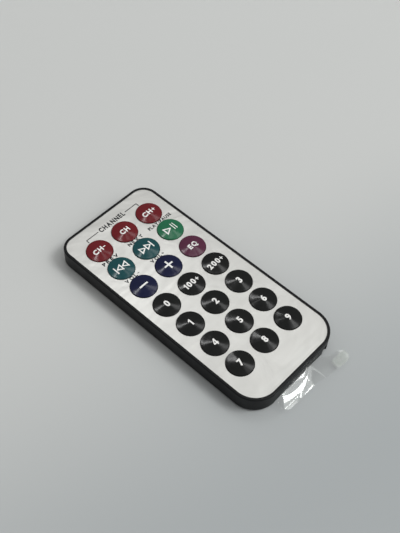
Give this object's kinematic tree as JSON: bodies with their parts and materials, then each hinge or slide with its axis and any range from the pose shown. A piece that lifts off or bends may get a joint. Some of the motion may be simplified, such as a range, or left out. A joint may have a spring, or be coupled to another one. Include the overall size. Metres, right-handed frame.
{
  "type": "remote control",
  "caption": "Slim handheld infrared remote with round domed keys, a slide-out coin cell tray and a clear pull tab.",
  "frame": {"origin": "centre of the flat back face of the case", "axes": "+Y towards the infrared end, +Z out of the key face, +X to the right seen from the keys"},
  "size_m": [0.0398, 0.0929, 0.007],
  "materials": {
    "case_black": "gloss",
    "overlay_silver": "brushed silver print under clear film",
    "key_red": "gloss",
    "key_teal": "gloss",
    "key_green": "gloss",
    "key_navy": "gloss",
    "key_purple": "gloss",
    "key_black": "gloss",
    "dome_steel": "satin",
    "film": "clear",
    "board_green": "satin",
    "emitter_lens": "clear",
    "tinned_metal": "satin",
    "chip_black": "matt",
    "resonator_amber": "gloss",
    "passive_tan": "matt",
    "cell_steel": "brushed"
  },
  "bodies": {
    "case": {"chip_passives": "passive_tan", "circuit_board": "board_green", "controller_chip": "chip_black", "dome_0": "dome_steel", "dome_1": "dome_steel", "dome_100_plus": "dome_steel", "dome_2": "dome_steel", "dome_200_plus": "dome_steel", "dome_3": "dome_steel", "dome_4": "dome_steel", "dome_5": "dome_steel", "dome_6": "dome_steel", "dome_7": "dome_steel", "dome_8": "dome_steel", "dome_9": "dome_steel", "dome_ch": "dome_steel", "dome_ch_minus": "dome_steel", "dome_ch_plus": "dome_steel", "dome_eq": "dome_steel", "dome_next": "dome_steel", "dome_play_pause": "dome_steel", "dome_prev": "dome_steel", "dome_retainer": "film", "dome_vol_down": "dome_steel", "dome_vol_up": "dome_steel", "front_shell": "case_black", "ir_led": "emitter_lens", "ir_led_leads": "tinned_metal", "key_overlay": "overlay_silver", "negative_contact": "tinned_metal", "positive_contact": "tinned_metal", "rear_shell": "case_black", "resonator": "resonator_amber", "transistor": "chip_black"},
    "key_0": {"key_0": "key_black"},
    "key_1": {"key_1": "key_black"},
    "key_100_plus": {"key_100_plus": "key_black"},
    "key_2": {"key_2": "key_black"},
    "key_200_plus": {"key_200_plus": "key_black"},
    "key_3": {"key_3": "key_black"},
    "key_4": {"key_4": "key_black"},
    "key_5": {"key_5": "key_black"},
    "key_6": {"key_6": "key_black"},
    "key_7": {"key_7": "key_black"},
    "key_8": {"key_8": "key_black"},
    "key_9": {"key_9": "key_black"},
    "key_ch": {"key_ch": "key_red"},
    "key_ch_minus": {"key_ch_minus": "key_red"},
    "key_ch_plus": {"key_ch_plus": "key_red"},
    "key_eq": {"key_eq": "key_purple"},
    "key_next": {"key_next": "key_teal"},
    "key_play_pause": {"key_play_pause": "key_green"},
    "key_prev": {"key_prev": "key_teal"},
    "key_vol_down": {"key_vol_down": "key_navy"},
    "key_vol_up": {"key_vol_up": "key_navy"},
    "tray": {"battery_tray": "case_black", "cell_can": "cell_steel", "cell_cap": "cell_steel"},
    "latch": {"tray_latch": "case_black"},
    "pull_tab": {"battery_pull_tab": "film"}
  },
  "joints": [
    {"name": "key_0_press", "type": "slide", "parent": "case", "child": "key_0", "axis": [0, 0, 1], "range_m": [-0.0003, 0], "stiffness_N_per_m": 5000, "deforming": ["dome_0"]},
    {"name": "key_1_press", "type": "slide", "parent": "case", "child": "key_1", "axis": [0, 0, 1], "range_m": [-0.0003, 0], "stiffness_N_per_m": 5000, "deforming": ["dome_1"]},
    {"name": "key_100_plus_press", "type": "slide", "parent": "case", "child": "key_100_plus", "axis": [0, 0, 1], "range_m": [-0.0003, 0], "stiffness_N_per_m": 5000, "deforming": ["dome_100_plus"]},
    {"name": "key_2_press", "type": "slide", "parent": "case", "child": "key_2", "axis": [0, 0, 1], "range_m": [-0.0003, 0], "stiffness_N_per_m": 5000, "deforming": ["dome_2"]},
    {"name": "key_200_plus_press", "type": "slide", "parent": "case", "child": "key_200_plus", "axis": [0, 0, 1], "range_m": [-0.0003, 0], "stiffness_N_per_m": 5000, "deforming": ["dome_200_plus"]},
    {"name": "key_3_press", "type": "slide", "parent": "case", "child": "key_3", "axis": [0, 0, 1], "range_m": [-0.0003, 0], "stiffness_N_per_m": 5000, "deforming": ["dome_3"]},
    {"name": "key_4_press", "type": "slide", "parent": "case", "child": "key_4", "axis": [0, 0, 1], "range_m": [-0.0003, 0], "stiffness_N_per_m": 5000, "deforming": ["dome_4"]},
    {"name": "key_5_press", "type": "slide", "parent": "case", "child": "key_5", "axis": [0, 0, 1], "range_m": [-0.0003, 0], "stiffness_N_per_m": 5000, "deforming": ["dome_5"]},
    {"name": "key_6_press", "type": "slide", "parent": "case", "child": "key_6", "axis": [0, 0, 1], "range_m": [-0.0003, 0], "stiffness_N_per_m": 5000, "deforming": ["dome_6"]},
    {"name": "key_7_press", "type": "slide", "parent": "case", "child": "key_7", "axis": [0, 0, 1], "range_m": [-0.0003, 0], "stiffness_N_per_m": 5000, "deforming": ["dome_7"]},
    {"name": "key_8_press", "type": "slide", "parent": "case", "child": "key_8", "axis": [0, 0, 1], "range_m": [-0.0003, 0], "stiffness_N_per_m": 5000, "deforming": ["dome_8"]},
    {"name": "key_9_press", "type": "slide", "parent": "case", "child": "key_9", "axis": [0, 0, 1], "range_m": [-0.0003, 0], "stiffness_N_per_m": 5000, "deforming": ["dome_9"]},
    {"name": "key_ch_press", "type": "slide", "parent": "case", "child": "key_ch", "axis": [0, 0, 1], "range_m": [-0.0003, 0], "stiffness_N_per_m": 5000, "deforming": ["dome_ch"]},
    {"name": "key_ch_minus_press", "type": "slide", "parent": "case", "child": "key_ch_minus", "axis": [0, 0, 1], "range_m": [-0.0003, 0], "stiffness_N_per_m": 5000, "deforming": ["dome_ch_minus"]},
    {"name": "key_ch_plus_press", "type": "slide", "parent": "case", "child": "key_ch_plus", "axis": [0, 0, 1], "range_m": [-0.0003, 0], "stiffness_N_per_m": 5000, "deforming": ["dome_ch_plus"]},
    {"name": "key_eq_press", "type": "slide", "parent": "case", "child": "key_eq", "axis": [0, 0, 1], "range_m": [-0.0003, 0], "stiffness_N_per_m": 5000, "deforming": ["dome_eq"]},
    {"name": "key_next_press", "type": "slide", "parent": "case", "child": "key_next", "axis": [0, 0, 1], "range_m": [-0.0003, 0], "stiffness_N_per_m": 5000, "deforming": ["dome_next"]},
    {"name": "key_play_pause_press", "type": "slide", "parent": "case", "child": "key_play_pause", "axis": [0, 0, 1], "range_m": [-0.0003, 0], "stiffness_N_per_m": 5000, "deforming": ["dome_play_pause"]},
    {"name": "key_prev_press", "type": "slide", "parent": "case", "child": "key_prev", "axis": [0, 0, 1], "range_m": [-0.0003, 0], "stiffness_N_per_m": 5000, "deforming": ["dome_prev"]},
    {"name": "key_vol_down_press", "type": "slide", "parent": "case", "child": "key_vol_down", "axis": [0, 0, 1], "range_m": [-0.0003, 0], "stiffness_N_per_m": 5000, "deforming": ["dome_vol_down"]},
    {"name": "key_vol_up_press", "type": "slide", "parent": "case", "child": "key_vol_up", "axis": [0, 0, 1], "range_m": [-0.0003, 0], "stiffness_N_per_m": 5000, "deforming": ["dome_vol_up"]},
    {"name": "tray_slide", "type": "slide", "parent": "case", "child": "tray", "axis": [0, -1, 0], "range_m": [0, 0.03]},
    {"name": "latch_pinch", "type": "hinge", "parent": "tray", "child": "latch", "pos_m": [0.0131, -0.0314, 0], "axis": [0, 0, -1], "range_deg": [0, 5.5], "stiffness_Nm_per_rad": 0.05},
    {"name": "tab_pull", "type": "slide", "parent": "tray", "child": "pull_tab", "axis": [0, -1, 0], "range_m": [0, 0.022]}
  ]
}
